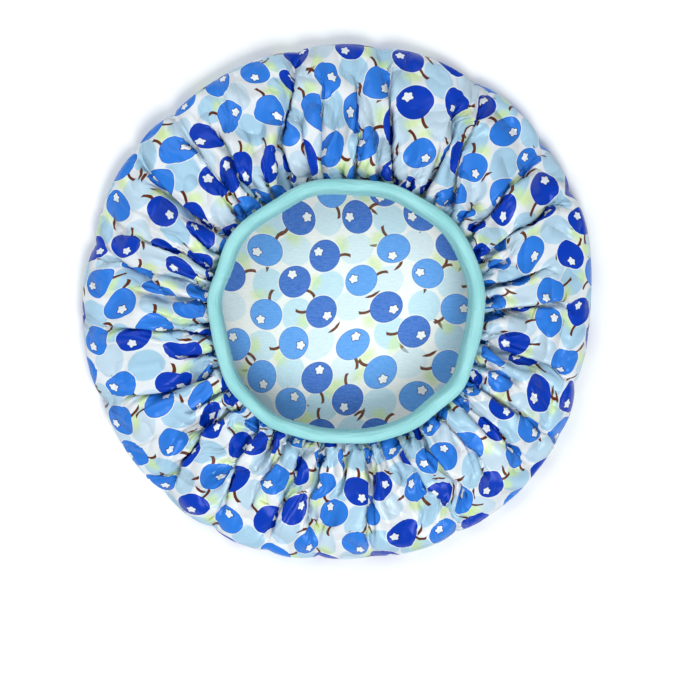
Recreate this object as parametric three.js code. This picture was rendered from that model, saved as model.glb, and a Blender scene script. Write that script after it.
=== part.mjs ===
import * as THREE from 'three';

// A satin hair bonnet lying on its crown with the opening up. Lengths are in millimetres.
// The flat of the crown rests on z = 0, and the middle of that flat is the origin.

// Bag of printed satin
const bonnetDiameter = 260; // widest place of the bag
const restOverhang = 13; // from the edge of the flat crown out to the widest place
const bulgeHeight = 8; // height of the widest place
const shoulderHeight = 20; // height where the upper side turns level
const crestHeight = 29; // height of the gathers beside the band
const crestGap = 4.5; // from the band out to the top of the gathers
const satinWall = 1; // wall of the bag's solid
const foldDepth = 6.5; // from ridge to valley of a mean fold beside the band

// Band seen from above, with its outside lengths along X and Y
const bandLengthX = 140;
const bandLengthY = 132;
const bandShiftX = 4; // the band's middle from the crown's middle
const bandShiftY = -5;
const bandTop = 41; // height of the round top of the band
const bandLean = THREE.MathUtils.degToRad(22); // the band's top leans outward

// What the band holds
const elasticHeight = 8;
const elasticThick = 0.9;
const elasticOverlap = 13; // the elastic's ends lie side by side over this length
const casingWall = 0.9; // folded stretch satin
const casingEase = 0.35; // looseness of the casing round the elastic
const pinchHeight = 4; // stretch of the seam where the casing's legs are pressed together
const flareHeight = 2; // from there up to the full width of the band
const threadThick = 0.35;
const stitchLength = 4;
const stitchRise = 0.25; // how far a stitch stands up between its two holes
const clearance = 0.3; // between pieces that touch on the real bonnet

// Main folds, read round the bag from +X towards +Y, as shares of a full turn
const foldPlaceShares = [
  0.017, 0.056, 0.092, 0.15, 0.197, 0.25, 0.314, 0.364, 0.4, 0.453,
  0.517, 0.567, 0.611, 0.658, 0.711, 0.758, 0.806, 0.858, 0.911, 0.964,
];
const ridgePlaceShares = [0.28, 0.72]; // both shoulders of a ridge, between two valleys
const shoulderInShare = 0.35; // place of the upper shoulder between the widest place and the crest
const joinPlaceShare = 0.454; // where the elastic's ends meet, as a share of a full turn

const archSteps = 4; // flats over the top of the band
const elasticSteps = 60; // steps in one turn of the elastic
const threadSides = 3;
const joinZigzags = 6;

const rimRadius = bonnetDiameter / 2;
const restRadius = rimRadius - restOverhang;
const bandRadius = (bandLengthX + bandLengthY) / 4;
const bandOvalShare = (bandLengthX - bandLengthY) / (bandLengthX + bandLengthY);
const crestRadius = bandRadius + crestGap;
const shoulderRadius = THREE.MathUtils.lerp(rimRadius, crestRadius, shoulderInShare);

// Section of the band, out from the middle of its seam and up along its lean
const slotHalf = satinWall / 2 + clearance;
const neckHalf = slotHalf + casingWall;
const layerShift = (elasticThick + clearance) / 2;
const stackHalf = layerShift + elasticThick / 2;
const cavityRadius = stackHalf + clearance + threadThick + clearance + casingEase;
const rollRadius = cavityRadius + casingWall;
const tuckHeight = pinchHeight + flareHeight;
const elasticFoot = tuckHeight + clearance + threadThick + clearance;
const elasticHead = elasticFoot + elasticHeight;
const archTilt = Math.PI / archSteps / 2;
const archDrop = stackHalf * Math.tan(archTilt) + clearance / Math.cos(archTilt);
const rollRise = elasticHead + archDrop - cavityRadius;
const seamRadius = bandRadius - rollRadius - rollRise * Math.sin(bandLean);
const seamHeight = bandTop - rollRadius - rollRise * Math.cos(bandLean);
const stitchCount = Math.round(2 * Math.PI * seamRadius / stitchLength);

// A point of the band's section, as radius and height.
function bandPoint(out, up) {
  return new THREE.Vector2(
    seamRadius + out * Math.cos(bandLean) + up * Math.sin(bandLean),
    seamHeight - out * Math.sin(bandLean) + up * Math.cos(bandLean),
  );
}

// A section point carried round to a share of a turn. Pull 0 gives the round of the crown, and
// pull 1 the band's shifted oval.
function roundPoint(turnShare, section, pull) {
  const angle = turnShare * 2 * Math.PI;
  const oval = pull * bandOvalShare;
  return new THREE.Vector3(
    section.x * (1 + oval) * Math.cos(angle) + pull * bandShiftX,
    section.x * (1 - oval) * Math.sin(angle) + pull * bandShiftY,
    section.y,
  );
}

// Every ring of the bag and of the casing has its corners at these places: for each fold its
// valley, with a weight that grows with the width of the fold, and the two shoulders of a ridge.
function ringPlaces() {
  const count = foldPlaceShares.length;
  return foldPlaceShares.flatMap((place, fold) => {
    const next = fold + 1 < count ? foldPlaceShares[fold + 1] : foldPlaceShares[0] + 1;
    const last = fold > 0 ? foldPlaceShares[fold - 1] : foldPlaceShares[count - 1] - 1;
    const valley = { turnShare: place, weight: (next - last) / 2 * count };
    const ridge = ridgePlaceShares.map((share) => ({
      turnShare: THREE.MathUtils.lerp(place, next, share),
      weight: 0,
    }));
    return [valley, ...ridge];
  });
}
const places = ringPlaces();

// The same as roundPoint on the band, but on the flats between two ring corners.
function flatPoint(turnShare, section) {
  const first = places[0].turnShare;
  const turned = turnShare - Math.floor(turnShare - first);
  const last = places.findLastIndex((place) => place.turnShare <= turned);
  const next = last + 1 < places.length ? places[last + 1].turnShare : first + 1;
  const start = places[last].turnShare;
  const along = (turned - start) / (next - start);
  return roundPoint(start, section, 1).lerp(roundPoint(next, section, 1), along);
}

// A closed solid through rings of equal length. An open row of rings has a flat fan at both ends.
// The faces are turned over if the volume that they hold comes out negative.
function solidFromRings(rings, looped) {
  const size = rings[0].length;
  const corners = rings.flat();
  const faces = [];
  const rows = looped ? rings.length : rings.length - 1;
  for (let row = 0; row < rows; row += 1) {
    const near = row * size;
    const far = (row + 1) % rings.length * size;
    for (let side = 0; side < size; side += 1) {
      const next = (side + 1) % size;
      faces.push([near + side, near + next, far + side]);
      faces.push([near + next, far + next, far + side]);
    }
  }
  if (!looped) {
    const ends = [rings[0], rings.at(-1)];
    ends.forEach((ring, end) => {
      const middle = new THREE.Vector3();
      ring.forEach((corner) => middle.addScaledVector(corner, 1 / size));
      const start = end * (rings.length - 1) * size;
      for (let side = 0; side < size; side += 1) {
        const next = (side + 1) % size;
        const pair = end ? [start + side, start + next] : [start + next, start + side];
        faces.push([...pair, corners.length]);
      }
      corners.push(middle);
    });
  }
  const sixVolumes = faces.map(([a, b, c]) => (
    corners[a].dot(new THREE.Vector3().crossVectors(corners[b], corners[c]))
  ));
  const inward = sixVolumes.reduce((sum, part) => sum + part) < 0;
  const geometry = new THREE.BufferGeometry().setFromPoints(corners);
  geometry.setIndex(faces.flatMap((face) => (inward ? face.reverse() : face)));
  geometry.computeVertexNormals();
  return geometry;
}

// A thread through points, each with the direction in which it stands off its cloth.
function threadSolid(points, lifts, looped) {
  const count = points.length;
  const rings = points.map((point, index) => {
    const before = looped ? (index + count - 1) % count : Math.max(index - 1, 0);
    const after = looped ? (index + 1) % count : Math.min(index + 1, count - 1);
    const along = new THREE.Vector3().subVectors(points[after], points[before]).normalize();
    const side = new THREE.Vector3().crossVectors(along, lifts[index]).normalize();
    const lift = new THREE.Vector3().crossVectors(side, along);
    return Array.from({ length: threadSides }, (_, corner) => {
      const angle = corner / threadSides * 2 * Math.PI;
      return point.clone()
        .addScaledVector(lift, Math.cos(angle) * threadThick / 2)
        .addScaledVector(side, Math.sin(angle) * threadThick / 2);
    });
  });
  return solidFromRings(rings, looped);
}

// The direction straight out from the band's face at a place of the turn.
function faceLift(turnShare) {
  const foot = roundPoint(turnShare, bandPoint(0, 0), 1);
  return roundPoint(turnShare, bandPoint(clearance, 0), 1).sub(foot).normalize();
}

// Outer side of the bag from the edge of its flat crown to the raw edge inside the band. Each
// step has its section point, its pull towards the band and its share of the fold depth.
function bagProfile() {
  const step = (radius, height, pull, depthShare) => ({
    section: new THREE.Vector2(radius, height), pull, depthShare,
  });
  const underside = (angle, depthShare) => step(
    restRadius + restOverhang * Math.sin(angle),
    bulgeHeight * (1 - Math.cos(angle)),
    0,
    depthShare,
  );
  const upperSide = (angle, depthShare) => {
    const inShare = 1 - Math.cos(angle);
    return step(
      THREE.MathUtils.lerp(rimRadius, shoulderRadius, inShare),
      bulgeHeight + (shoulderHeight - bulgeHeight) * Math.sin(angle),
      inShare * shoulderInShare,
      depthShare,
    );
  };
  const inBand = (out, up) => {
    const section = bandPoint(out, up);
    return { section, pull: 1, depthShare: 0 };
  };
  return [
    underside(0, 0),
    underside(Math.PI / 4, 0.12),
    underside(Math.PI / 2, 0.22),
    upperSide(Math.PI / 6, 0.4),
    upperSide(Math.PI / 3, 0.7),
    upperSide(Math.PI / 2, 0.95),
    step(crestRadius, crestHeight, 1, 1),
    inBand(neckHalf + clearance, -neckHalf / 2),
    inBand(satinWall / 2, 0),
    inBand(satinWall / 2, tuckHeight),
  ];
}

// The outward normal of the profile at a step, in its plane, long enough to keep the wall even.
function profileNormal(profile, index) {
  const turned = (from, to) => {
    const run = new THREE.Vector2().subVectors(profile[to].section, profile[from].section);
    return new THREE.Vector2(run.y, -run.x).normalize();
  };
  if (index === 0) {
    return new THREE.Vector2(0, -1);
  }
  if (index === profile.length - 1) {
    return turned(index - 1, index);
  }
  const before = turned(index - 1, index);
  const after = turned(index, index + 1);
  const middle = before.clone().add(after).normalize();
  return middle.divideScalar(middle.dot(before));
}

// One sheet of cloth: out under the rim, up and in over the folds, and up between the band's legs.
function satinShell() {
  const profile = bagProfile();
  const ring = (index, wall) => {
    const { section, pull, depthShare } = profile[index];
    const normal = profileNormal(profile, index);
    return places.map(({ turnShare, weight }) => {
      const sunk = foldDepth * depthShare * weight + wall;
      return roundPoint(turnShare, section.clone().addScaledVector(normal, -sunk), pull);
    });
  };
  const outside = profile.map((_, index) => ring(index, 0));
  const inside = profile.map((_, index) => ring(index, satinWall));
  return solidFromRings([...outside, ...inside.reverse()], false);
}

// A folded strip: two legs pinched on the satin's edge, and a roll over the elastic.
function bandCasing() {
  const half = (radius, footHalf) => {
    const arch = Array.from({ length: archSteps + 1 }, (_, index) => {
      const angle = index / archSteps * Math.PI;
      return bandPoint(radius * Math.cos(angle), rollRise + radius * Math.sin(angle));
    });
    return [
      bandPoint(footHalf, clearance),
      bandPoint(footHalf, pinchHeight),
      bandPoint(radius, tuckHeight),
      ...arch,
      bandPoint(-radius, tuckHeight),
      bandPoint(-footHalf, pinchHeight),
      bandPoint(-footHalf, clearance),
    ];
  };
  const outline = [...half(rollRadius, neckHalf), ...half(cavityRadius, slotHalf).reverse()];
  const rings = places.map(({ turnShare }) => (
    outline.map((section) => roundPoint(turnShare, section, 1))
  ));
  return solidFromRings(rings, true);
}

// A flat strip that goes once round and a little further, with its ends side by side.
function bandElastic() {
  const stepLength = 2 * Math.PI * bandRadius / elasticSteps;
  const overlapSteps = Math.max(2, Math.round(elasticOverlap / stepLength));
  const lastStep = elasticSteps + overlapSteps;
  const rings = Array.from({ length: lastStep + 1 }, (_, step) => {
    const fromEnds = [step, lastStep - step].map((count) => (
      1 - THREE.MathUtils.smoothstep(count, overlapSteps, 2 * overlapSteps)
    ));
    const out = layerShift * (fromEnds[1] - fromEnds[0]);
    const turnShare = joinPlaceShare + (step - overlapSteps / 2) / elasticSteps;
    const corners = [
      bandPoint(out - elasticThick / 2, elasticFoot),
      bandPoint(out + elasticThick / 2, elasticFoot),
      bandPoint(out + elasticThick / 2, elasticHead),
      bandPoint(out - elasticThick / 2, elasticHead),
    ];
    return corners.map((section) => roundPoint(turnShare, section, 1));
  });
  return solidFromRings(rings, false);
}

// One thread of the seam: it lies along a face of the casing, and stands up between its holes.
function seamThread(faceSide) {
  const seat = neckHalf + clearance + threadThick / 2;
  const points = [];
  const lifts = [];
  for (let half = 0; half < 2 * stitchCount; half += 1) {
    const turnShare = half / 2 / stitchCount;
    const out = seat + half % 2 * stitchRise;
    points.push(flatPoint(turnShare, bandPoint(faceSide * out, pinchHeight / 2)));
    lifts.push(faceLift(turnShare).multiplyScalar(faceSide));
  }
  return threadSolid(points, lifts, true);
}

// The overlock's chain: it crosses from side to side along the satin's raw edge.
function edgeOverlock() {
  const up = tuckHeight + clearance + threadThick / 2;
  const points = [];
  const lifts = [];
  for (let half = 0; half < 2 * stitchCount; half += 1) {
    const turnShare = half / 2 / stitchCount;
    const out = (half % 2 ? 1 : -1) * satinWall / 2;
    const foot = flatPoint(turnShare, bandPoint(out, tuckHeight));
    const point = flatPoint(turnShare, bandPoint(out, up));
    points.push(point);
    lifts.push(point.clone().sub(foot).normalize());
  }
  return threadSolid(points, lifts, true);
}

// A zigzag up and down the outer face of the elastic, across the overlap of its ends.
function elasticJoin() {
  const out = stackHalf + clearance + threadThick / 2;
  const spanShare = elasticOverlap / 2 / (2 * Math.PI * bandRadius);
  const middle = (elasticFoot + rollRise) / 2;
  const reach = (rollRise - elasticFoot) / 2 - threadThick;
  const points = [];
  const lifts = [];
  for (let corner = 0; corner <= 2 * joinZigzags; corner += 1) {
    const alongShare = corner / 2 / joinZigzags - 1 / 2;
    const turnShare = joinPlaceShare + alongShare * spanShare;
    const up = middle + (corner % 2 ? reach : -reach);
    points.push(roundPoint(turnShare, bandPoint(out, up), 1));
    lifts.push(faceLift(turnShare));
  }
  return threadSolid(points, lifts, false);
}

const bonnet = new THREE.Group();

function addPiece(name, geometry, color, roughness) {
  const material = new THREE.MeshStandardMaterial({ color, roughness, metalness: 0 });
  const mesh = new THREE.Mesh(geometry, material);
  mesh.name = name;
  bonnet.add(mesh);
}

addPiece('satin_shell', satinShell(), 0x8fb4e6, 0.4);
addPiece('band_casing', bandCasing(), 0x9addd8, 0.5);
addPiece('band_elastic', bandElastic(), 0xf1f0ea, 0.8);
addPiece('seam_needle_thread', seamThread(1), 0x86cfcc, 0.7);
addPiece('seam_bobbin_thread', seamThread(-1), 0x86cfcc, 0.7);
addPiece('edge_overlock_thread', edgeOverlock(), 0xf4f6f8, 0.7);
addPiece('elastic_join_thread', elasticJoin(), 0xf4f6f8, 0.7);

export default bonnet;
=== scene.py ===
import math
import bpy
import numpy as np
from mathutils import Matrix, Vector


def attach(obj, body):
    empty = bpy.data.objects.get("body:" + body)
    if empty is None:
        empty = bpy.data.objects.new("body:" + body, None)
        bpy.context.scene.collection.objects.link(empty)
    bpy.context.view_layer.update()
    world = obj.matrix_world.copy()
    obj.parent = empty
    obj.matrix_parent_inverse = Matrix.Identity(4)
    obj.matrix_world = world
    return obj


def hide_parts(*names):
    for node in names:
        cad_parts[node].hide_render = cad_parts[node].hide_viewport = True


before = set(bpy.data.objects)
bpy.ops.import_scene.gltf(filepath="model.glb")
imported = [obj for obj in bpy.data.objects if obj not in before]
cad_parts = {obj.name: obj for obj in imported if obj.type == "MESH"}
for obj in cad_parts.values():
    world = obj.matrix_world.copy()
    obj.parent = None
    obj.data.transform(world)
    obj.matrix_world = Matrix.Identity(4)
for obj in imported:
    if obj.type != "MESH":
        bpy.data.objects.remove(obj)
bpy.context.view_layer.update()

# A gathered satin hair bonnet, lying on its crown with the opening up.
# Lengths in the dictionaries are millimetres; everything is put into the meshes in metres.
mm = 0.001
scene = bpy.context.scene
scene.view_settings.view_transform = 'Standard'

# the camera looks straight down, as in the photograph
view = {
    'frameWidth': 352.8,      # what the picture shows from side to side
    'middle': (6.3, -24.4),   # the point under the middle of the picture
    'distance': 2600,
}
cameraData = bpy.data.cameras.new('overheadCamera')
cameraData.sensor_width = 36
cameraData.lens = 36 * view['distance'] / view['frameWidth']
cameraData.clip_end = 20
camera = bpy.data.objects.new('overheadCamera', cameraData)
camera.location = (view['middle'][0] * mm, view['middle'][1] * mm, view['distance'] * mm)
scene.collection.objects.link(camera)
scene.camera = camera

light = {
    'key': {'place': (0.36, -0.9, 1.5), 'size': 0.8, 'power': 21},
    'fill': {'place': (-0.8, 0.85, 1.3), 'size': 1.4, 'power': 13.0},
    'sky': 0.45, 'skyColour': (0.84, 0.93, 1.0, 1),
}
for name in ('key', 'fill'):
    lamp = bpy.data.lights.new(name + 'Light', 'AREA')
    lamp.size = light[name]['size']
    lamp.energy = light[name]['power']
    holder = bpy.data.objects.new(name + 'Light', lamp)
    holder.location = light[name]['place']
    holder.rotation_euler = (-Vector(light[name]['place'])).to_track_quat('-Z', 'Y').to_euler()
    scene.collection.objects.link(holder)
sky = bpy.data.worlds.new('softSky')
scene.world = sky
sky.use_nodes = True
sky.node_tree.nodes['Background'].inputs['Color'].default_value = light['skyColour']
sky.node_tree.nodes['Background'].inputs['Strength'].default_value = light['sky']
print('camera and light are up')


class Paint:
    # a material's node tree with short ways to add and join nodes
    def __init__(self, name):
        self.material = bpy.data.materials.new(name)
        self.material.use_nodes = True
        self.tree = self.material.node_tree
        self.shader = self.tree.nodes['Principled BSDF']

    def put(self, socket, value):
        if isinstance(value, bpy.types.NodeSocket):
            self.tree.links.new(value, socket)
        elif value is not None:
            socket.default_value = value

    def add(self, kind, inputs=None, **settings):
        made = self.tree.nodes.new('ShaderNode' + kind)
        for key, value in settings.items():
            setattr(made, key, value)
        for key, value in (inputs or {}).items():
            self.put(made.inputs[key], value)
        return made

    def sum(self, operation, a, b=None, c=None, clamp=False):
        return self.add('Math', {0: a, 1: b, 2: c}, operation=operation, use_clamp=clamp).outputs[0]

    def vector(self, operation, a, b=None):
        return self.add('VectorMath', {0: a, 1: b}, operation=operation).outputs[0]

    def scaled(self, a, factor):
        made = self.add('VectorMath', {0: a}, operation='SCALE')
        self.put(made.inputs['Scale'], factor)
        return made.outputs[0]

    def length(self, a):
        return self.add('VectorMath', {0: a}, operation='LENGTH').outputs['Value']

    def parts(self, a):
        return self.add('SeparateXYZ', {0: a}).outputs

    def step(self, value, low, high, first=0.0, last=1.0):
        # eased from first at low to last at high
        ends = {'Value': value, 'From Min': low, 'From Max': high, 'To Min': first, 'To Max': last}
        return self.add('MapRange', ends, interpolation_type='SMOOTHSTEP').outputs['Result']

    def blend(self, share, first, last, way='MIX'):
        made = self.add('Mix', data_type='RGBA', blend_type=way)
        self.put(made.inputs[0], share)
        self.put(made.inputs[6], first)
        self.put(made.inputs[7], last)
        return made.outputs[2]

    def noise(self, where, scale, detail=0.0):
        inputs = {'Vector': where, 'Scale': scale, 'Detail': detail, 'Roughness': 0.5}
        return self.add('TexNoise', inputs, noise_dimensions='3D').outputs

    def bump(self, height, strength, distance, under=None):
        made = self.add('Bump', {'Height': height, 'Strength': strength, 'Distance': distance, 'Normal': under})
        return made.outputs[0]

    def shade(self, **values):
        for key, value in values.items():
            self.put(self.shader.inputs[key.replace('_', ' ')], value)


def ink(code):
    # a colour written as on screen, turned linear
    parts = [int(code[i:i + 2], 16) / 255 for i in (0, 2, 4)]
    return tuple(p / 12.92 if p <= 0.04045 else ((p + 0.055) / 1.055) ** 2.4 for p in parts) + (1.0,)


def smooth(low, high, x):
    # eased step: 3t^2 - 2t^3 with t the clipped share of the way from low to high
    t = np.clip((x - low) / (high - low), 0, 1)
    return t * t * (3 - 2 * t)


def bezier(corners, count):
    # cubic between four corners, without its first point
    t = np.linspace(0, 1, count)[1:, None]
    a, b, c, d = [np.array(corner, float) for corner in corners]
    return (1 - t) ** 3 * a + 3 * (1 - t) ** 2 * t * b + 3 * (1 - t) * t * t * c + t ** 3 * d


def waves(turn, table):
    # sum of amplitude * cos(count * turn + phase)
    total = np.zeros_like(turn)
    for count, amplitude, phase in table:
        total = total + amplitude * np.cos(count * turn + phase)
    return total


def gridFaces(rows, columns, wrapRows=False, wrapColumns=True, start=0):
    # quads between neighbouring rows and columns of a grid of points
    index = start + np.arange(rows * columns).reshape(rows, columns)
    below = index if wrapRows else index[:-1]
    above = np.roll(index, -1, 0) if wrapRows else index[1:]
    if wrapColumns:
        quads = np.stack([below, np.roll(below, -1, 1), np.roll(above, -1, 1), above], -1)
    else:
        quads = np.stack([below[:, :-1], below[:, 1:], above[:, 1:], above[:, :-1]], -1)
    return quads.reshape(-1, 4)


def makePiece(name, points, quads, triangles=None, slots=None):
    # mesh from arrays: points in millimetres, quads, a few triangles, and a material number per face
    mesh = bpy.data.meshes.new(name)
    faces = quads.tolist() + ([] if triangles is None else triangles.tolist())
    mesh.from_pydata((points.reshape(-1, 3) * mm).tolist(), [], faces)
    mesh.shade_smooth()
    if slots is not None:
        mesh.polygons.foreach_set('material_index', slots.astype(np.int32))
    piece = bpy.data.objects.new(name, mesh)
    scene.collection.objects.link(piece)
    return piece


def giveMap(piece, name, places):
    # a UV map from one place per point
    mesh = piece.data
    corner = np.empty(len(mesh.loops), np.int32)
    mesh.loops.foreach_get('vertex_index', corner)
    layer = mesh.uv_layers.new(name=name)
    layer.data.foreach_set('uv', places[corner].astype(np.float32).ravel())


def outwards(piece):
    # turns a closed piece's faces over if the volume that it holds comes out negative
    mesh = piece.data
    mesh.calc_loop_triangles()
    spots = np.empty(len(mesh.vertices) * 3)
    mesh.vertices.foreach_get('co', spots)
    spots = spots.reshape(-1, 3)
    corners = np.empty(len(mesh.loop_triangles) * 3, np.int32)
    mesh.loop_triangles.foreach_get('vertices', corners)
    a, b, c = spots[corners.reshape(-1, 3)].transpose(1, 0, 2)
    if np.einsum('ij,ij->i', a, np.cross(b, c)).sum() < 0:
        mesh.flip_normals()


band = {
    'lengthX': 140, 'lengthY': 132, 'shift': (4, -5), 'top': 41,
    'rollRadius': 3.25, 'rollRise': 13.36, 'legHalf': 1.7, 'pinch': 4, 'flare': 7.5, 'wall': 0.7,
    'lean': 11.5, 'leanChange': 3.5, 'leanTowards': 10,   # it leans out most towards this side
    # how far the rim stands out from an even oval, every 10 degrees from +X
    'offRound': [-0.7, 0.4, 0.6, 1.2, 1.8, 1.1, 0.6, 1.0, -0.1, -0.5, 0.3, 0.0, -1.4, -1.0, -0.2, -0.7, -2.2, -1.2,
                 -1.5, -2.3, -1.7, 0.1, 0.9, 1.3, 1.7, 0.5, 0.2, 0.0, 0.6, 0.9, 1.1, 0.3, 1.2, 1.0, -1.0, -1.2],
    'topWaves': [(3, 0.35, 0.7), (5, 0.3, 2.1), (8, 0.15, 4.0)],
    'joinTurn': 163.5,
    'columns': 900, 'skinSteps': 15, 'liningSteps': 9, 'footUp': 0.3,
    'footPucker': 0.12, 'rollPucker': 0.10, 'joinGroove': 0.2, 'joinHalf': 0.75, 'joinBulge': 0.08,
    'liningIn': 0.6,   # the cavity's legs lie this much further in
    'puckerSeed': 5, 'puckerCounts': (71, 88, 97, 113, 128),
    'fullness': 0.025, 'fullWaves': [(7, 1, 0.4), (11, 0.8, 2.2), (17, 0.6, 5.0)],
}


def roundSeries(table, turn):
    # the smoothest line through values evenly spaced over a turn: their Fourier sum
    knots = np.fft.rfft(np.array(table)) / len(table)
    return np.real(knots[0]) + sum(2 * np.real(knots[k] * np.exp(1j * k * turn)) for k in range(1, len(table) // 2))


def bandCourse(turn):
    # the rim's radius, the lean, and from them the place of the seam, each as a function of the turn
    off = roundSeries(band['offRound'], turn)
    rim = (band['lengthX'] + band['lengthY']) / 4 + off
    lean = np.radians(band['lean'] + band['leanChange'] * np.cos(turn - math.radians(band['leanTowards'])))
    top = band['top'] - 0.6 + waves(turn, band['topWaves'])
    seamRadius = rim - band['rollRadius'] - band['rollRise'] * np.sin(lean)
    seamHeight = top - band['rollRadius'] - band['rollRise'] * np.cos(lean)
    return rim, lean, seamRadius, seamHeight


def roundTheBand(turn, radius, height, pull=1.0):
    # a radius and height carried to a turn; pull 0 is the crown's round, pull 1 the band's shifted oval
    oval = pull * (band['lengthX'] - band['lengthY']) / (band['lengthX'] + band['lengthY'])
    x = radius * (1 + oval) * np.cos(turn) + pull * band['shift'][0]
    y = radius * (1 - oval) * np.sin(turn) + pull * band['shift'][1]
    return np.stack([x, y, height + 0 * x], -1)


def inBand(turn, out, up):
    # a place in the band's section, out from its middle and up along its lean
    rim, lean, seamRadius, seamHeight = bandCourse(turn)
    radius = seamRadius + out * np.cos(lean) + up * np.sin(lean)
    height = seamHeight - out * np.sin(lean) + up * np.cos(lean)
    return roundTheBand(turn, radius, height)


bag = {
    'widest': 260, 'overhang': 13, 'bulge': 8, 'shoulder': 20, 'shoulderIn': 0.35,
    'crest': 29.5, 'crestGap': 5, 'hem': 6, 'cloth': 0.25,
    'columns': 880, 'rings': 44, 'firstRing': 100, 'crownRings': 8,
    # the folds that show in the photograph: degrees from +X at the band and at the rim, and how far out they reach
    'shownFolds': [
        (10, 12, 86), (22, 25, 121), (32.5, 37.5, 129), (46, 58.5, 125), (58, 62, 99), (69, 80, 118), (84, 86, 98),
        (96, 92, 104), (114, 100, 119), (126, 125, 95), (135, 131, 119), (146, 143.5, 127), (161, 162.5, 101),
        (178, 167.5, 127), (192, 187, 103), (206, 203.5, 127), (222, 227.5, 127), (231, 240.5, 129),
        (248.5, 249.5, 99), (255.5, 254.5, 124), (260.5, 266, 127), (279, 278, 108), (290, 297, 129), (301, 304, 98),
        (310, 310, 93), (321, 319, 104), (330, 329, 110), (346, 341, 126), (357, 358.5, 95),
    ],
    'foldPitch': 0.026, 'seed': 11, 'gatherReach': (76, 88), 'fineReach': (66, 76),
    # for a shown fold, a gather between them and a fine one: how far it lies over, its weight and its width
    'leanShares': [1.0, 0.8, 0.35], 'weightShares': [1, 0.7, 0.4], 'widthShares': [1.1, 0.9, 0.6],
    'rimAt': 134,       # how far along the cloth the rim is
    'roofSpan': 62,     # from the rim in to the band
    'reachEase': 3.5,   # how softly a fold ends
    'nearWide': 0.016,  # the share of a turn round a fold in which it takes up the cloth
    'seamEase': 11, 'seamPull': (14, 1),   # where the folds flatten and the cloth is drawn to the seam
    # by the distance from the middle: half the width of a fold, and the most that it may sink
    'foldAt': [58, 66, 76, 100, 125, 140], 'foldWide': [0.9, 1.0, 1.1, 1.4, 2.2, 3.5],
    'sinkAt': [60, 104, 116, 124, 130, 136], 'sinkMost': [11.5, 10.5, 7.5, 3.6, 0.9, 0.2],
    # the broad hollow along each long fold: half width as a share of a turn, and depth by the distance
    'hollowWide': 0.015, 'hollowAt': [66, 74, 88, 108, 122, 134, 140], 'hollowDeep': [0, 1.2, 3.4, 3.9, 1.5, 0, 0],
    # how far the rim stands out from a round, every 20 degrees from +X
    'offRound': [-2.6, 2.5, 2.5, 2.9, 1.4, 1.1, -2.5, -0.2, -1.7, 0.3, 0.3, 1.8, 2.8, 3.0, 0.7, 3.8, 3.2, -0.1],
    'samples': 2880, 'depthSteps': 14,   # points round a ring while it is worked out, and tries at its depths
}


def bagMeridian(v):
    # the bag's line from the crown's middle: flat, round the rim, up to the shoulder, on to the
    # crest beside the band, then under the band's roll into its seam and up the hem
    rim = v['widest'] / 2
    rest = rim - v['overhang']
    bandMean = (band['lengthX'] + band['lengthY']) / 4
    crest = bandMean + v['crestGap']
    shoulder = rim + (crest - rim) * v['shoulderIn']
    a = np.linspace(0, np.pi / 2, 60)
    under = np.stack([rest + v['overhang'] * np.sin(a), v['bulge'] * (1 - np.cos(a))], 1)
    rise = v['shoulder'] - v['bulge']
    upper = np.stack([rim + (shoulder - rim) * (1 - np.cos(a)), v['bulge'] + rise * np.sin(a)], 1)
    lean = math.radians(band['lean'])
    up = np.array([math.sin(lean), math.cos(lean)])
    out = np.array([math.cos(lean), -math.sin(lean)])
    seam = np.array([bandMean - band['rollRadius'], band['top'] - band['rollRadius']]) - band['rollRise'] * up
    p = np.array([shoulder, v['shoulder']])
    q = np.array([crest, v['crest']])
    roof = bezier([p, p + [-10, 0.8], q + [12, -3.4], q], 40)
    dive = bezier([q, q + [-5, -0.4], seam - up * 5 + out, seam], 40)
    hem = seam + np.linspace(0, v['hem'], 8)[1:, None] * up
    line = np.concatenate([[[0, 0]], under, upper[1:], roof, dive, hem])
    run = np.concatenate([[0], np.cumsum(np.hypot(*np.diff(line, axis=0).T))])
    pull = np.clip((rim - line[:, 0]) / (rim - crest), 0, 1)
    pull[run < rest + 20] = 0
    slope = np.stack([np.gradient(line[:, 0], run), np.gradient(line[:, 1], run)], 1)
    slope /= np.linalg.norm(slope, axis=1, keepdims=True)
    return run, line, pull, np.stack([slope[:, 1], -slope[:, 0]], 1), seam


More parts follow.
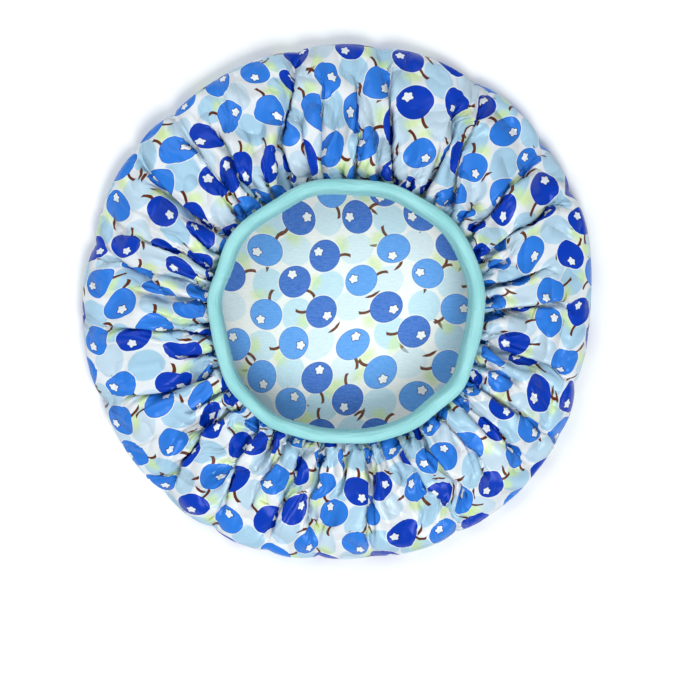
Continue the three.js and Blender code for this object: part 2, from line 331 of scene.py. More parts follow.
def foldTable(v):
    # The folds of the photograph, and between them shorter gathers and fine ones that die out beside
    # the band. Each has its place at the band, reach, lean, weight, width and drift towards the rim;
    # the lean is a sum of sines of the place plus a little chance, so that neighbours lie over alike.
    rng = np.random.default_rng(v['seed'])
    shown = np.array(v['shownFolds']) / np.array([360, 360, 1])
    following = np.append(shown[1:, 0], shown[0, 0] + 1)
    places, kinds, reach, drift = [], [], [], []
    for (first, outer, far), last, nextDrift in zip(shown, following, np.roll(shown[:, 1] - shown[:, 0], -1)):
        count = max(int(round((last - first) / v['foldPitch'])), 1) * 2
        order = np.arange(count)
        share = (order + rng.uniform(-0.25, 0.25, count) * (order > 0)) / count
        places.append(first + (last - first) * share)
        kind = np.where(order == 0, 0, np.where(order % 2 == 0, 1, 2))
        kinds.append(kind)
        middling, short = rng.uniform(*v['gatherReach'], count), rng.uniform(*v['fineReach'], count)
        reach.append(np.where(kind == 0, far, np.where(kind == 1, middling, short)))
        drift.append((outer - first) * (1 - share) + nextDrift * share)
    places, kinds, reach, drift = [np.concatenate(part) for part in (places, kinds, reach, drift)]
    n = len(places)
    swing = np.sin(2 * np.pi * (5 * places + 0.13)) + 0.5 * np.sin(2 * np.pi * (11 * places + 0.4))
    lean = np.clip(1.4 * swing + rng.normal(0, 0.35, n), -1.5, 1.5) * np.array(v['leanShares'])[kinds]
    strength = np.where(kinds == 0, np.clip(reach / 100, 0.9, 1.4), np.array(v['weightShares'])[kinds])
    return {
        'place': places, 'reach': reach, 'lean': lean, 'drift': drift,
        'weight': rng.uniform(0.8, 1.25, n) * strength,
        'width': rng.uniform(0.85, 1.2, n) * np.array(v['widthShares'])[kinds],
        'bow': rng.normal(0, 0.003, n), 'isLong': (kinds == 0) & (reach > 115),
    }


def ringPieces(side, sink, stride):
    # lengths of the pieces of each ring: the stride round it and both shifts, put together at right angles
    return np.hypot(np.diff(side, axis=1, append=side[:, :1]) + stride, np.diff(sink, axis=1, append=sink[:, :1]))


def gatheredBag(v):
    # Rings of the flat round cut, laid in folds. Along a ring the cloth sinks by the sum of
    # depth / (1 + x^2)^1.5 over the folds, x the distance from the fold in its widths, and shifts
    # sideways by lean times that; the long folds also draw a broad hollow of the same formula. The
    # depths are stepped until the ring has the length that the flat cut has there, and points are
    # then placed at even lengths along it.
    run, line, pull, normal, seam = bagMeridian(v)
    cut = run[-1]
    n = v['rings']
    x = np.linspace(0, 1, n)
    rho = v['firstRing'] + (cut - v['firstRing']) * (1.3 * x - 0.3 * x * x)
    radius, height = np.interp(rho, run, line[:, 0]), np.interp(rho, run, line[:, 1])
    normalR, normalZ = np.interp(rho, run, normal[:, 0]), np.interp(rho, run, normal[:, 1])
    pulled = np.interp(rho, run, pull)
    f = foldTable(v)
    rim = v['widest'] / 2
    inward = np.where(rho > v['rimAt'], radius, rim + (v['rimAt'] - rho) * 0.6)   # grows along the underside
    present = 1 / (1 + np.exp((inward[:, None] - f['reach']) / v['reachEase']))
    s = np.clip((rim - inward) / v['roofSpan'], -0.2, 1.2)
    place = f['place'] + f['drift'] * (1 - s[:, None]) + f['bow'] * np.sin(np.pi * np.clip(s, 0, 1))[:, None]
    count = v['samples']
    turns = (np.arange(count) + 0.5) / count
    goal = 2 * np.pi * rho
    width = np.interp(inward, v['foldAt'], v['foldWide'])
    gap = ((turns[None, None] - place[:, :, None] + 0.5) % 1 - 0.5).astype(np.float32)
    near = (present * f['weight'])[:, :, None] * np.exp(-(gap / v['nearWide']) ** 2) + 1e-9
    near /= near.sum(1, keepdims=True)
    want = near.mean(2) * (goal - 2 * np.pi * radius)[:, None]
    far = gap * (2 * np.pi * radius[:, None] / (width[:, None] * f['width']))[:, :, None].astype(np.float32)
    bump = 1 / (1 + far * far) ** 1.5
    hollow = (f['isLong'] * f['weight'])[None, :, None] / (1 + (gap / v['hollowWide']) ** 2) ** 1.5
    hollow = hollow.sum(1) * np.interp(inward, v['hollowAt'], v['hollowDeep'])[:, None]
    depth = np.maximum(want / 2, 0) * present
    most = np.interp(inward, v['sinkAt'], v['sinkMost'])
    stride = (2 * np.pi * radius / count)[:, None]
    for _ in range(v['depthSteps']):
        sink = np.einsum('jv,jvt->jt', depth, bump) + hollow
        side = np.einsum('jv,jvt->jt', depth * f['lean'], bump)
        pieces = ringPieces(side, sink, stride)
        have = np.einsum('jvt,jt->jv', near, pieces - stride)
        ratio = np.clip(np.maximum(want, 0.01) / np.maximum(have, 0.01), 0.6, 1.6)
        depth = np.minimum(depth * ratio ** 0.6, most[:, None])
        padded = np.concatenate([depth[:1], depth, depth[-1:]])
        depth = 0.25 * padded[:-2] + 0.5 * padded[1:-1] + 0.25 * padded[2:]
    seamAt = cut - v['hem']
    ease = (np.clip((seamAt - rho) / v['seamEase'], 0, 1) ** 0.7)[:, None]
    sink, side = sink * ease, side * ease
    pieces = ringPieces(side, sink, stride)
    along = np.concatenate([np.zeros((n, 1)), np.cumsum(pieces, 1)], 1) / pieces.sum(1)[:, None]
    ends = np.append(turns, turns[0] + 1)
    m = np.arange(v['columns']) / v['columns']
    turn, down, sideways = np.zeros((3, n, len(m)))
    for j in range(n):
        shift = 0.0
        for _ in range(3):
            t = np.interp((m + shift) % 1, along[j], ends)
            shift -= ((t - m + 0.5) % 1 - 0.5).mean()
        turn[j] = t
        down[j] = np.interp(t % 1, turns, sink[j], period=1)
        sideways[j] = np.interp(t % 1, turns, side[j], period=1)
    angle = 2 * np.pi * turn + sideways / radius[:, None]
    r = radius[:, None] - normalR[:, None] * down
    z = height[:, None] - normalZ[:, None] * down
    # the band isn't an even oval and doesn't lean alike all round: the cloth follows it
    bandRim, lean, seamRadius, seamHeight = bandCourse(angle)
    follow = smooth(0.35, 1, pulled)[:, None]
    toSeam = smooth(seamAt - v['seamPull'][0], seamAt - v['seamPull'][1], rho)[:, None]
    offRim = bandRim - (band['lengthX'] + band['lengthY']) / 4
    r = r + follow * (1 - toSeam) * offRim + toSeam * (seamRadius - seam[0])
    z = z + toSeam * (seamHeight - seam[1])
    r = r + smooth(85, 120, radius)[:, None] * (1 - follow) * roundSeries(v['offRound'], angle)
    grid = roundTheBand(angle, r, z, pulled[:, None])
    hemRings = rho > seamAt - 0.01
    grid[hemRings] = inBand(angle[hemRings], 0, (rho[hemRings] - cut + v['hem'])[:, None])
    return grid, rho, m, cut


relax = {
    'frames': 18, 'quality': 5, 'mass': 0.1, 'stretch': 15, 'shear': 3, 'bend': 0.2, 'damping': 5, 'bendDamping': 0.5,
    'air': 3, 'puff': 0.3, 'apart': 0.006, 'friction': 5, 'contactQuality': 2,
    'grip': [1, 1, 0.5, 0.35, 0.2, 0.02, 0.02, 1, 1],   # how firmly the rings are held, from the crown out
}


def relaxCloth(grid, rho, m, cut, v):
    # Blender's cloth at ten times the size: it knows the flat cut, so it draws up the fine wrinkles.
    # The crown's edge, the seam and the hem are held, and the rim is held a little.
    rows, columns = grid.shape[:2]
    turn = 2 * np.pi * m
    flat = np.stack([rho[:, None] * np.cos(turn), rho[:, None] * np.sin(turn), np.zeros((rows, columns))], -1)
    scale = 0.01   # millimetres to the solver's units
    mesh = bpy.data.meshes.new('clothTrial')
    mesh.from_pydata((grid.reshape(-1, 3) * scale).tolist(), [], gridFaces(rows, columns).tolist())
    trial = bpy.data.objects.new('clothTrial', mesh)
    scene.collection.objects.link(trial)
    trial.shape_key_add(name='Basis')
    rest = trial.shape_key_add(name='flatCut')
    rest.data.foreach_set('co', (flat.reshape(-1, 3) * scale).astype(np.float32).ravel())
    rest.value = 0
    held = trial.vertex_groups.new(name='held')
    seamAt = cut - v['hem']
    grip = np.interp(rho, [0, rho[1], rho[2], 128, 142, 165, seamAt - 6, seamAt - 1.5, cut], relax['grip'])
    for row in range(rows):
        held.add(list(range(row * columns, (row + 1) * columns)), float(grip[row]), 'REPLACE')
    cloth = trial.modifiers.new('cloth', 'CLOTH')
    s = cloth.settings
    s.quality = relax['quality']
    s.mass = relax['mass']
    s.tension_stiffness = s.compression_stiffness = relax['stretch']
    s.shear_stiffness = relax['shear']
    s.bending_stiffness = relax['bend']
    s.tension_damping = s.compression_damping = s.shear_damping = relax['damping']
    s.bending_damping = relax['bendDamping']
    s.air_damping = relax['air']
    s.vertex_group_mass = 'held'
    s.pin_stiffness = 1
    s.rest_shape_key = rest
    s.use_pressure = True
    s.uniform_pressure_force = relax['puff']
    s.effector_weights.gravity = 0
    c = cloth.collision_settings
    c.use_self_collision = True
    c.use_collision = False
    c.self_distance_min = relax['apart']
    c.self_friction = relax['friction']
    c.collision_quality = relax['contactQuality']
    cloth.point_cache.frame_start = 1
    cloth.point_cache.frame_end = relax['frames']
    for number in range(1, relax['frames'] + 1):
        scene.frame_set(number)
    shaped = trial.evaluated_get(bpy.context.evaluated_depsgraph_get()).to_mesh()
    spots = np.empty(rows * columns * 3, np.float32)
    shaped.vertices.foreach_get('co', spots)
    scene.frame_set(1)
    bpy.data.objects.remove(trial, do_unlink=True)
    bpy.data.meshes.remove(mesh)
    return spots.reshape(rows, columns, 3).astype(float) / scale


def closedCloth(grid, v, rho, m, cut):
    # adds the flat crown inside the first ring, then a second face one cloth thickness behind the
    # first along the point normals, joined to it at the raw edge
    rows, columns = grid.shape[:2]
    crown = np.linspace(0, 1, v['crownRings'] + 1)[1:-1] * rho[0]
    turn = 2 * np.pi * m
    x, y = crown[:, None] * np.cos(turn), crown[:, None] * np.sin(turn)
    # the flat crown isn't quite flat: a product of two bent sines, gone at the first ring
    wave = 0.3 + 0.35 * (np.sin(x / 17 + 1.3 * np.sin(y / 29)) * np.sin(y / 21 + 1.1 * np.sin(x / 33)) + 1)
    lift = wave * smooth(rho[0], 70, crown)[:, None]
    inner = np.stack([x, y, 0.05 + lift], -1)
    grid = np.concatenate([inner, grid])
    flatRadius = np.concatenate([crown, rho])
    around = np.roll(grid, -1, 1) - np.roll(grid, 1, 1)
    outward = np.gradient(grid, axis=0)
    normal = np.cross(outward, around)
    normal /= np.linalg.norm(normal, axis=-1, keepdims=True) + 1e-12
    if normal[len(crown) - 1, :, 2].mean() > 0:
        normal = -normal
    back = grid - normal * v['cloth']
    back[..., 2] = np.maximum(back[..., 2], 0.05)
    rows = len(grid)
    middle = np.array([[0, 0, grid[0, :, 2].mean()], [0, 0, back[0, :, 2].mean()]])
    points = np.concatenate([grid.reshape(-1, 3), back.reshape(-1, 3), middle])
    size = rows * columns
    front = gridFaces(rows, columns)
    # turned over, but cut along the same diagonals as the front, so that neither face pokes through
    rear = np.roll(gridFaces(rows, columns, start=size)[:, ::-1], 1, axis=1)
    last = size - columns + np.arange(columns)
    edge = np.stack([last, np.roll(last, -1), np.roll(last, -1) + size, last + size], -1)
    first = np.arange(columns)
    fans = np.concatenate([
        np.stack([first, np.roll(first, -1), np.full(columns, 2 * size)], -1)[:, ::-1],
        np.stack([first + size, np.roll(first, -1) + size, np.full(columns, 2 * size + 1)], -1),
    ])
    quads = np.concatenate([front, rear, edge])
    # material 0 is the printed face and 1 the cloth's back; the last two entries are the fans
    slots = np.repeat([0, 1, 0, 0, 1], [len(front), len(rear), len(edge), columns, columns])
    cutPlace = np.stack([flatRadius[:, None] * np.cos(turn), flatRadius[:, None] * np.sin(turn)], -1).reshape(-1, 2)
    piece = makePiece('printedBag', points, quads, fans, slots)
    giveMap(piece, 'flatCut', np.concatenate([cutPlace, cutPlace, [[0, 0], [0, 0]]]) / (2 * cut) + 0.5)
    # for the bake the two faces lie apart, as two discs in opposite corners
    disc, margin = 0.2915, 0.003
    spots = cutPlace / cut * disc
    one, two = np.full(2, disc + margin), np.full(2, 1 - margin - disc)
    giveMap(piece, 'OFBake', np.concatenate([spots + one, spots + two, [one, two]]))
    return piece, flatRadius


grid, rho, turnShare, cutRadius = gatheredBag(bag)
print('satin laid in folds, flat cut %.1f mm in radius' % cutRadius)
grid = relaxCloth(grid, rho, turnShare, cutRadius, bag)
print('satin relaxed by the cloth solver')
printedBag, flatRadius = closedCloth(grid, bag, rho, turnShare, cutRadius)

# the satin's print
fabricPrint = {
    'pitch': 31, 'jitter': 4.4, 'ghostJitter': 6.0, 'shift': (6.0, 4.0), 'wander': 16.0, 'wanderScale': 0.011,
    'berry': 8.3, 'halo': 0.42, 'edge': 0.14, 'rimLine': 0.5, 'ghost': 8.8, 'ghostEdge': 0.5,
    'crown': 2.0, 'crownLine': 0.42, 'crownAt': (2.3, 3.2, 0), 'lobes': 5.0, 'lobeDeep': 0.34,
    'twigHalf': 0.74, 'twigAt': (-6.2, -9.6, 0), 'twigBend': 6.2, 'looseAt': (-10.5, -4.0, 0), 'looseBend': 4.6,
    'leafAt': (4.6, -8.4, 0), 'leafStrength': 0.68, 'leafCloud': 0.16, 'leafRagged': 4.5, 'leafEdge': (7.6, 3.0),
    'cobaltLower': 0.46, 'cobaltUpper': 0.53,   # the shares of dark berries in the two lattices
}
faceInks = {
    'cobalt': ink('0038b0'), 'azure': ink('2c79d8'), 'ghost': ink('a5c9de'), 'ground': ink('dfe3e6'),
    'halo': ink('e4e9eb'), 'outline': ink('04217e'), 'twig': ink('5e2a0e'), 'leaf': ink('cbe58c'),
}
# the back's inks are paler than the face's. Partly this is the print seen duller through the cloth's reverse; partly
# it is painted light, lightened further to make up for the shade that falls inside the crown
backInks = {
    'cobalt': ink('4378cb'), 'azure': ink('63a7ee'), 'ghost': ink('cbebf3'), 'ground': ink('fcfdf5'),
    'halo': ink('fcfdf5'), 'outline': ink('2950a0'), 'twig': ink('6e3c1c'), 'leaf': ink('d8f0a0'),
}


def latticeCell(p, where, corner, seed, jitter):
    # a square lattice of tossed motifs: each cell has its own shift and turn, and one free number
    v = fabricPrint
    q = p.scaled(p.vector('ADD', where, (corner[0], corner[1], 0)), 1 / v['pitch'])
    cell = p.vector('FLOOR', q)
    local = p.scaled(p.vector('SUBTRACT', p.vector('FRACTION', q), (0.5, 0.5, 0.5)), v['pitch'])
    seeded = p.vector('ADD', cell, (seed, seed * 0.7, 3.0))
    dice = p.add('TexWhiteNoise', {'Vector': seeded}, noise_dimensions='3D').outputs
    r, g, b = p.add('SeparateColor', {0: dice['Color']}).outputs
    shift = p.scaled(p.vector('SUBTRACT', p.add('CombineXYZ', {0: r, 1: g}).outputs[0], (0.5, 0.5, 0)), jitter)
    local = p.vector('SUBTRACT', local, shift)
    turned = {'Vector': local, 'Angle': p.sum('MULTIPLY', b, 2 * math.pi)}
    local = p.add('VectorRotate', turned, rotation_type='Z_AXIS').outputs[0]
    return p.vector('MULTIPLY', local, (1.0, 1.0, 0.0)), dice['Value']


def arcLine(p, local, middle, radius, half):
    # how far inside a drawn arc a place is: 1 on the line, 0 off it
    off = p.sum('ABSOLUTE', p.sum('SUBTRACT', p.length(p.vector('SUBTRACT', local, middle)), radius))
    return p.step(off, half + 0.1, half - 0.1)


def ghostLayer(p, where, under, corner, seed, inks):
    # pale berries without an edge line that lie under the others, and a loose twig by each
    v = fabricPrint
    local, pick = latticeCell(p, where, corner, seed, v['ghostJitter'])
    distance = p.length(p.vector('MULTIPLY', local, (1.0, 1.12, 0.0)))
    body = p.step(distance, v['ghost'] + v['ghostEdge'], v['ghost'] - v['ghostEdge'])
    body = p.sum('MULTIPLY', body, p.step(pick, 0.05, 0.6, 0.55, 1.0))
    colour = p.blend(body, under, inks['ghost'])
    twig = arcLine(p, local, v['looseAt'], v['looseBend'], v['twigHalf'])
    twig = p.sum('MULTIPLY', twig, p.step(p.parts(local)[1], -0.5, -0.2))
    return p.blend(twig, colour, inks['twig'])


def leafSmudge(p, where, local, under, inks):
    # a soft yellow-green patch beside each berry's foot: the distance from its middle plus a noise
    v = fabricPrint
    cloudy = p.noise(where, v['leafCloud'], 1.0)['Fac']
    away = p.length(p.vector('MULTIPLY', p.vector('SUBTRACT', local, v['leafAt']), (0.8, 1.0, 0)))
    leaf = p.sum('ADD', away, p.sum('MULTIPLY', cloudy, v['leafRagged']))
    return p.blend(p.sum('MULTIPLY', p.step(leaf, *v['leafEdge']), v['leafStrength']), under, inks['leaf'])


def berryLayer(p, local, pick, under, share, inks):
    # berries in two blues with a darker rim, each with a pale halo, a five-lobed crown and a short
    # twig out of its foot
    v = fabricPrint
    x, y, _ = p.parts(local)
    distance = p.length(p.vector('MULTIPLY', local, (1.0, 1.07, 0.0)))
    # of the drawn arc only the part that leaves the berry's foot is kept
    reach = p.sum('MULTIPLY', p.step(y, -13.2, -12.9), p.step(x, -2.8, -2.5))
    twig = p.sum('MULTIPLY', arcLine(p, local, v['twigAt'], v['twigBend'], v['twigHalf']), reach)
    twig = p.sum('MULTIPLY', twig, p.step(y, -6.6, -7.0))
    fromCrown = p.vector('SUBTRACT', local, v['crownAt'])
    cx, cy, _ = p.parts(fromCrown)
    petals = p.sum('COSINE', p.sum('MULTIPLY', p.sum('ARCTAN2', cy, cx), v['lobes']))
    lobes = p.sum('MULTIPLY', petals, v['lobeDeep'])
    crown = p.sum('SUBTRACT', p.length(fromCrown), lobes)
    body = p.blend(p.sum('GREATER_THAN', pick, share), inks['cobalt'], inks['azure'])
    size, edge = v['berry'], v['edge']
    body = p.blend(p.step(distance, size - v['rimLine'], size, 0.0, 0.6), body, inks['outline'])
    colour = p.blend(p.step(distance, size + v['halo'] + edge, size + v['halo'] - edge), under, inks['halo'])
    colour = p.blend(twig, colour, inks['twig'])
    colour = p.blend(p.step(distance, size + edge, size - edge), colour, body)
    outer = v['crown'] + v['crownLine']
    colour = p.blend(p.step(crown, outer + edge, outer - edge), colour, inks['outline'])
    return p.blend(p.step(crown, v['crown'] + edge, v['crown'] - edge), colour, inks['halo'])


def printColour(p, inks):
    # the whole print over the flat cut, in millimetres, with its rows gently waved
    uv = p.add('UVMap', uv_map='flatCut').outputs[0]
    where = p.scaled(p.vector('SUBTRACT', uv, (0.5, 0.5, 0)), 2 * cutRadius)
    v = fabricPrint
    wander = p.vector('SUBTRACT', p.noise(where, v['wanderScale'])['Color'], (0.5, 0.5, 0.5))
    wavy = p.vector('MULTIPLY', p.vector('ADD', where, p.scaled(wander, v['wander'])), (1.0, 1.0, 0.0))
    # four lattices, half a pitch apart, each with a seed of its own
    (right, up), half = v['shift'], v['pitch'] / 2
    lower, lowerPick = latticeCell(p, wavy, (half + right, half + up), 4.0, v['jitter'])
    upper, upperPick = latticeCell(p, wavy, (right, up), 13.0, v['jitter'])
    colour = ghostLayer(p, wavy, inks['ground'], (half + right, up), 2.0, inks)
    colour = ghostLayer(p, wavy, colour, (right, half + up), 9.0, inks)
    colour = leafSmudge(p, wavy, lower, colour, inks)
    colour = leafSmudge(p, wavy, upper, colour, inks)
    colour = berryLayer(p, lower, lowerPick, colour, v['cobaltLower'], inks)
    colour = berryLayer(p, upper, upperPick, colour, v['cobaltUpper'], inks)
    return where, colour


def radialCreases(p, where):
    # fine creases that run out from the band: noise on the direction from the middle, drawn out along it
    direction = p.scaled(p.vector('NORMALIZE', where), 52.0)
    away = p.length(where)
    spot = p.vector('ADD', direction, p.add('CombineXYZ', {2: p.sum('MULTIPLY', away, 0.05)}).outputs[0])
    return p.sum('MULTIPLY', p.noise(spot, 1.0, 0.5)['Fac'], p.step(away, 140.0, 205.0))


def crumples(p, where):
    # the satin's soft facets: the distance of a slow noise from its middle, twice, so that creases run
    # where it crosses the middle
    total = None
    for scale, share in ((0.030, 0.7), (0.062, 0.3)):
        level = p.noise(p.vector('ADD', where, (scale * 4000, 0, 7.0)), scale, 0.5)['Fac']
        ridge = p.sum('MULTIPLY', p.sum('ABSOLUTE', p.sum('SUBTRACT', level, 0.5)), share)
        total = ridge if total is None else p.sum('ADD', total, ridge)
    return total


def weave(p, where, threads):
    # satin weave: long floats across, fine warps along, from two stretched noises
    long = p.noise(p.vector('MULTIPLY', where, (threads * 0.16, threads, 1.0)), 1.0, 1.0)['Fac']
    fine = p.noise(p.vector('MULTIPLY', where, (threads, threads * 0.3, 1.0)), 1.0, 0.0)['Fac']
    return p.sum('ADD', p.sum('MULTIPLY', long, 0.7), p.sum('MULTIPLY', fine, 0.3))


satinLook = {
    'threads': 4.0, 'grain': 0.12, 'rough': 0.32, 'shine': 0.65, 'ownTint': 0.75,
    'creaseDepth': 0.0012, 'crumpleDepth': 0.026,
}
reverseLook = {'threads': 1.7, 'grain': 0.25, 'undyed': 0.06, 'rough': 0.8, 'shine': 0.25, 'threadDepth': 0.00018}
threadShade = (0.6, 0.66, 0.7, 1.0)

satin = Paint('printedSatinFace')
where, colour = printColour(satin, faceInks)
threads = weave(satin, where, satinLook['threads'])
colour = satin.blend(satin.step(threads, 0.3, 0.75, 0.0, satinLook['grain']), colour, threadShade, 'MULTIPLY')
satin.shade(Base_Color=colour, Roughness=satinLook['rough'], Specular_IOR_Level=satinLook['shine'])
satin.shade(Specular_Tint=satin.blend(satinLook['ownTint'], (1.0, 1.0, 1.0, 1.0), colour))
creases = radialCreases(satin, where)
crumpled = satin.bump(crumples(satin, where), 1.0, satinLook['crumpleDepth'])
satin.shade(Normal=satin.bump(creases, 0.5, satinLook['creaseDepth'], crumpled))

reverse = Paint('printedSatinBack')
where, colour = printColour(reverse, backInks)
threads = weave(reverse, where, reverseLook['threads'])
colour = reverse.blend(reverse.step(threads, 0.3, 0.7, 0.0, reverseLook['grain']), colour, threadShade, 'MULTIPLY')
colour = reverse.blend(reverse.step(threads, 0.62, 0.38, 0.0, reverseLook['undyed']), colour, ink('dfeaf4'))
reverse.shade(Base_Color=colour, Roughness=reverseLook['rough'], Specular_IOR_Level=reverseLook['shine'])
reverse.shade(Normal=reverse.bump(threads, 0.5, reverseLook['threadDepth']))

printedBag.data.materials.append(satin.material)
printedBag.data.materials.append(reverse.material)
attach(printedBag, 'root')
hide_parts('satin_shell')
print('bag done, %d faces' % len(printedBag.data.polygons))


def casingSection(reach, legHalf, rise, foot, count):
    # half of the casing's outline, from foot to foot over the top: straight legs, an eased flare and a round roll
    legs = np.linspace(0, 1, count)
    up = foot + (rise - foot) * legs
    wide = legHalf + (reach - legHalf) * smooth(band['pinch'] - 0.5, band['flare'], up)
    a = np.linspace(0, np.pi, 2 * count)[1:-1]
    return np.concatenate([
        np.stack([wide, up], 1),
        np.stack([reach * np.cos(a), rise + reach * np.sin(a)], 1),
        np.stack([-wide, up], 1)[::-1],
    ])


def bandCasing():
    # outside and cavity outlines joined at both feet, carried round the band; the roll's fullness
    # wavers a little, the legs are puckered by the gathers, and a seam crosses it at the join
    turns = np.arange(band['columns']) / band['columns'] * 2 * np.pi
    rise, foot = band['rollRise'], band['footUp']
    skin = casingSection(band['rollRadius'], band['legHalf'], rise, foot, band['skinSteps'])
    reach, legHalf = band['rollRadius'] - band['wall'], band['legHalf'] - band['liningIn']
    cavity = casingSection(reach, legHalf, rise, foot, band['liningSteps'])
    lining = cavity[::-1]
    outline = np.concatenate([skin, lining])
    isSkin = np.concatenate([np.ones(len(skin)), np.zeros(len(lining))])
    turn = turns[:, None]
    rng = np.random.default_rng(band['puckerSeed'])
    puckers = sum(rng.uniform(0.4, 1) * np.cos(k * turn + rng.uniform(0, 6.3)) for k in band['puckerCounts']) / 2.2
    fullness = 1 + band['fullness'] * waves(turn, band['fullWaves'])
    low = 1 - smooth(2, 11, outline[:, 1])
    apart = (turn - math.radians(band['joinTurn'])) * band['lengthX'] / 2
    groove = np.exp(-(apart / band['joinHalf']) ** 2)
    bulge = np.exp(-((np.abs(apart) - 2.4) / 1.5) ** 2)
    crinkle = band['rollPucker'] * puckers * smooth(2, 8, outline[:, 1])
    seam = band['joinGroove'] * groove * smooth(1, 9, outline[:, 1])
    lift = isSkin * (band['footPucker'] * puckers * low + crinkle * 0.5 - seam + band['joinBulge'] * bulge)
    slope = np.gradient(outline, axis=0)
    normal = np.stack([slope[:, 1], -slope[:, 0]], 1)
    normal /= np.linalg.norm(normal, axis=1, keepdims=True)
    out = outline[:, 0] * np.where(outline[:, 1] > band['pinch'], fullness, 1) + lift * normal[:, 0]
    up = outline[:, 1] + lift * normal[:, 1] * (outline[:, 1] > 1)
    points = inBand(turn + 0 * out, out, up)
    piece = makePiece('bandCasing', points, gridFaces(len(turns), len(outline), wrapRows=True))
    outwards(piece)
    along = np.cumsum(np.hypot(*np.diff(outline, axis=0, prepend=outline[:1]).T))
    # a seam in the map lies where the turn starts again, so the last column gets its own places
    mesh = piece.data
    corner = np.empty(len(mesh.loops), np.int32)
    mesh.loops.foreach_get('vertex_index', corner)
    row, column = corner // len(outline), corner % len(outline)
    face = np.repeat(np.arange(len(mesh.polygons)), 4)
    faceRow, faceColumn = face // len(outline), face % len(outline)
    row = np.where((faceRow == len(turns) - 1) & (row == 0), len(turns), row)
    v = np.where((faceColumn == len(outline) - 1) & (column == 0), along[-1] + 1.0, along[column])
    u = row / len(turns) * 2 * np.pi * band['lengthY'] / 2
    layer = mesh.uv_layers.new(name='alongBand')
    layer.data.foreach_set('uv', np.stack([u, v], 1).astype(np.float32).ravel())
    return piece


bandCasingPiece = bandCasing()
aquaLook = {'rough': 0.5, 'shine': 0.35, 'streakDepth': 0.0016, 'crinkleDepth': 0.0004, 'knitDepth': 0.00012}
aqua = Paint('aquaStretchSatin')
where = aqua.add('UVMap', uv_map='alongBand').outputs[0]
knit = aqua.noise(aqua.vector('MULTIPLY', where, (4.0, 1.1, 1.0)), 1.0, 1.0)['Fac']
crinkles = aqua.noise(aqua.vector('MULTIPLY', where, (0.55, 0.12, 1.0)), 1.0, 2.0)['Fac']
tone = aqua.noise(aqua.vector('MULTIPLY', where, (0.05, 0.2, 1.0)), 1.0, 1.0)['Fac']
streaks = aqua.noise(aqua.vector('MULTIPLY', where, (0.09, 0.6, 1.0)), 1.0, 2.0)['Fac']
colour = aqua.blend(aqua.step(tone, 0.3, 0.7), ink('88cacb'), ink('98d5d6'))
# paler where the streak noise is high: a painted sheen along the band's ribs (the same noise also raises them in
# relief below)
colour = aqua.blend(aqua.step(streaks, 0.5, 0.75, 0.0, 0.14), colour, ink('c4f0ee'))
colour = aqua.blend(aqua.step(knit, 0.3, 0.7, 0.0, 0.10), colour, ink('bceae6'))
# darker where the crinkle noise is high: painted shade in the band's crinkles (the same noise also bumps them in
# relief below)
colour = aqua.blend(aqua.step(crinkles, 0.62, 0.8, 0.0, 0.10), colour, ink('62aeac'))
aqua.shade(Base_Color=colour, Roughness=aquaLook['rough'], Specular_IOR_Level=aquaLook['shine'])
relief = aqua.bump(knit, 0.3, aquaLook['knitDepth'])
relief = aqua.bump(crinkles, 0.35, aquaLook['crinkleDepth'], relief)
aqua.shade(Normal=aqua.bump(streaks, 0.5, aquaLook['streakDepth'], relief))
bandCasingPiece.data.materials.append(aqua.material)
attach(bandCasingPiece, 'root')
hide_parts('band_casing')
print('band casing done')

elastic = {
    'height': 8, 'thick': 0.9, 'foot': 6.95, 'overlap': 13, 'endGap': 0.3, 'ribs': 9, 'ribDeep': 0.10,
    'steps': 520, 'sides': 40,
}
sewing = {
    'thread': 0.30, 'chainThread': 0.24,
    'stitch': 4.0, 'seamRadius': 60, 'seamUp': 2.0, 'seamOff': 0.32, 'seamDive': 0.42,
    'loops': 300, 'loopOut': 0.62, 'loopDown': 0.6, 'loopUp': 1.1,
    'zigzags': 6, 'zigzagUp': 2.9, 'zigzagOut': 1.32,
}


def elasticLoop():
    # a flat ribbed section carried a little more than once round, its ends side by side
    steps = elastic['steps']
    loop = 2 * np.pi * (band['lengthX'] + band['lengthY']) / 4
    extra = elastic['overlap'] / loop
    way = np.linspace(-extra / 2, 1 + extra / 2, steps)
    turn = (2 * np.pi * way + math.radians(band['joinTurn']))[:, None]
    fromStart = 1 - smooth(extra / 2, 1.6 * extra, way)
    fromEnd = smooth(1 - 1.6 * extra, 1 - extra / 2, way)
    shift = (elastic['thick'] + elastic['endGap']) / 2 * (fromStart - fromEnd)
    a = np.linspace(0, 2 * np.pi, elastic['sides'] + 1)[:-1]
    flat = np.sign(np.cos(a)) * np.abs(np.cos(a)) ** 0.35 * elastic['height'] / 2
    rib = 1 + elastic['ribDeep'] * np.cos(a * elastic['ribs'] * 2)
    thick = np.sign(np.sin(a)) * np.abs(np.sin(a)) ** 0.5 * elastic['thick'] / 2 * rib
    points = inBand(turn + 0 * flat, shift[:, None] + thick, elastic['foot'] + elastic['height'] / 2 + flat)
    quads = gridFaces(steps, len(a))
    ends = np.array([points[0].mean(0), points[-1].mean(0)])
    ring = np.arange(len(a))
    last = (steps - 1) * len(a) + ring
    near = np.stack([np.roll(ring, -1), ring, np.full(len(a), steps * len(a))], -1)
    far = np.stack([last, np.roll(last, -1), np.full(len(a), steps * len(a) + 1)], -1)
    points = np.concatenate([points.reshape(-1, 3), ends])
    piece = makePiece('elasticLoop', points, quads, np.concatenate([near, far]))
    outwards(piece)
    return piece


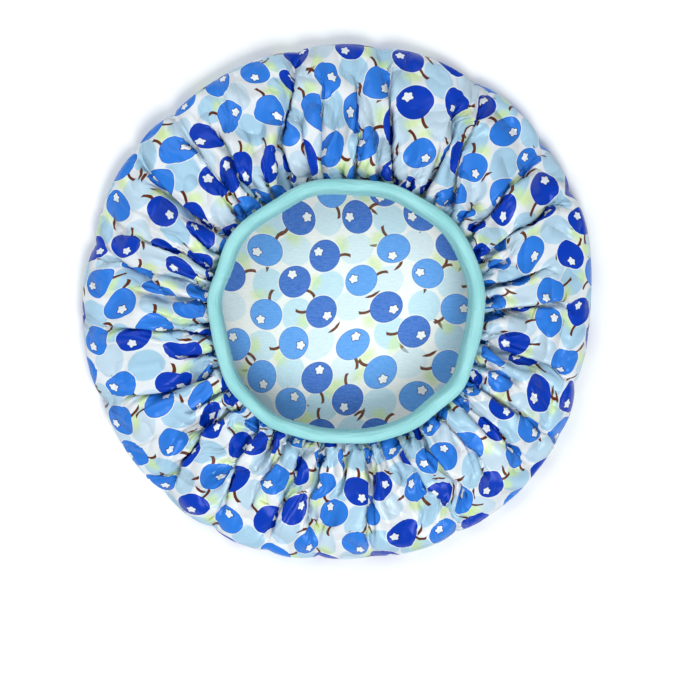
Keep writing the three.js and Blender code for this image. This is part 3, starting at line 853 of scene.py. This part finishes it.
def threadAlong(name, line, sides=6, looped=True, thick=None):
    # a round section carried along a line: side and lift stand square to the line's direction
    thick = thick or sewing['thread']
    if looped:
        ahead = np.roll(line, -1, 0) - np.roll(line, 1, 0)
    else:
        ahead = np.gradient(line, axis=0)
    ahead /= np.linalg.norm(ahead, axis=1, keepdims=True)
    reference = np.array([0.13, 0.21, 0.97])
    side = np.cross(ahead, reference)
    side /= np.linalg.norm(side, axis=1, keepdims=True)
    lift = np.cross(side, ahead)
    a = np.arange(sides) / sides * 2 * np.pi
    spoke = np.cos(a)[None, :, None] * side[:, None] + np.sin(a)[None, :, None] * lift[:, None]
    points = line[:, None] + spoke * thick / 2
    quads = gridFaces(len(line), sides, wrapRows=looped)
    fans = None
    if not looped:
        ring = np.arange(sides)
        base = (len(line) - 1) * sides
        points = np.concatenate([points.reshape(-1, 3), line[:1], line[-1:]])
        fans = np.concatenate([
            np.stack([np.roll(ring, -1), ring, np.full(sides, len(line) * sides)], -1),
            np.stack([ring + base, np.roll(ring, -1) + base, np.full(sides, len(line) * sides + 1)], -1),
        ])
    piece = makePiece(name, points, quads, fans)
    outwards(piece)
    return piece


def seamLine(face):
    # one thread of the lock stitch: it lies on the leg's face and dives at each hole
    stitches = int(round(2 * np.pi * sewing['seamRadius'] / sewing['stitch']))
    s = np.arange(stitches * 12) / 12
    turn = s / stitches * 2 * np.pi
    dive = np.abs(2 * (s % 1) - 1) ** 5
    out = face * (band['legHalf'] + sewing['seamOff'] - sewing['seamDive'] * dive)
    return inBand(turn, out, sewing['seamUp'] + 0 * turn)


def overlockLine():
    # the overlock's chain: loops round the raw edge, up one face, over and down the other
    loops = sewing['loops']
    s = np.arange(loops * 10) / 10
    turn = s / loops * 2 * np.pi
    out = sewing['loopOut'] * np.cos(2 * np.pi * s)
    up = bag['hem'] - sewing['loopDown'] + sewing['loopUp'] * np.sin(2 * np.pi * s)
    return inBand(turn, out, up)


def joinLine():
    # a zigzag over the elastic's overlap
    s = np.linspace(0, 1, 240)
    turn = math.radians(band['joinTurn']) + (s - 0.5) * elastic['overlap'] / 2 / (band['lengthX'] / 2)
    zigzag = (2 / np.pi) * np.arcsin(np.sin(2 * np.pi * sewing['zigzags'] * s))
    up = elastic['foot'] + elastic['height'] / 2 + sewing['zigzagUp'] * zigzag
    return inBand(turn, sewing['zigzagOut'] + 0 * s, up)


def clothPaint(name, first, last, scale, rough, bumpDepth):
    # a twisted or braided yarn: fine slanted ridges in colour and relief, on object coordinates
    p = Paint(name)
    where = p.scaled(p.add('TexCoord').outputs['Object'], 1000.0)
    grain = p.noise(where, scale, 2.0)['Fac']
    p.shade(Base_Color=p.blend(p.step(grain, 0.3, 0.7), first, last), Roughness=rough, Sheen_Weight=0.2)
    p.shade(Normal=p.bump(grain, 0.4, bumpDepth))
    return p.material


elasticPiece = elasticLoop()
elasticPiece.data.materials.append(clothPaint('whiteElastic', ink('e4e2d8'), ink('f6f5ef'), 2.2, 0.8, 0.0002))
needleThread = threadAlong('needleThread', seamLine(1))
bobbinThread = threadAlong('bobbinThread', seamLine(-1))
overlockThread = threadAlong('overlockThread', overlockLine(), 5, thick=sewing['chainThread'])
joinThread = threadAlong('joinThread', joinLine(), 6, looped=False)
aquaThread = clothPaint('aquaThread', ink('79c6c2'), ink('9bded9'), 5.0, 0.6, 0.0001)
whiteThread = clothPaint('whiteThread', ink('dfe4e8'), ink('f7f9fa'), 5.0, 0.6, 0.0001)
for piece, slot, node, paint in (
    (elasticPiece, 'white_elastic', 'band_elastic', None),
    (needleThread, 'aqua_thread', 'seam_needle_thread', aquaThread),
    (bobbinThread, 'aqua_thread', 'seam_bobbin_thread', aquaThread),
    (overlockThread, 'white_thread', 'edge_overlock_thread', whiteThread),
    (joinThread, 'white_thread', 'elastic_join_thread', whiteThread),
):
    if paint:
        piece.data.materials.append(paint)
    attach(piece, 'root')
    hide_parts(node)
print('elastic and threads done')

table = {'size': 3.0, 'drop': 0.0003}
side = np.linspace(-1, 1, 3) * table['size'] / 2 / mm
gx, gy = np.meshgrid(side, side)
floorPoints = np.stack([gx, gy, 0 * gx - table['drop'] / mm], -1)
floor = makePiece('paleFloor', floorPoints, gridFaces(3, 3, wrapColumns=False))
pale = Paint('paleFloorPaint')
where = pale.add('TexCoord').outputs['Object']
cloudy = pale.noise(where, 3.0, 2.0)['Fac']
pale.shade(Base_Color=pale.blend(cloudy, (0.93, 0.93, 0.93, 1), (0.95, 0.95, 0.95, 1)), Roughness=0.9)
floor.data.materials.append(pale.material)
print('floor done')

bpy.context.view_layer.update()
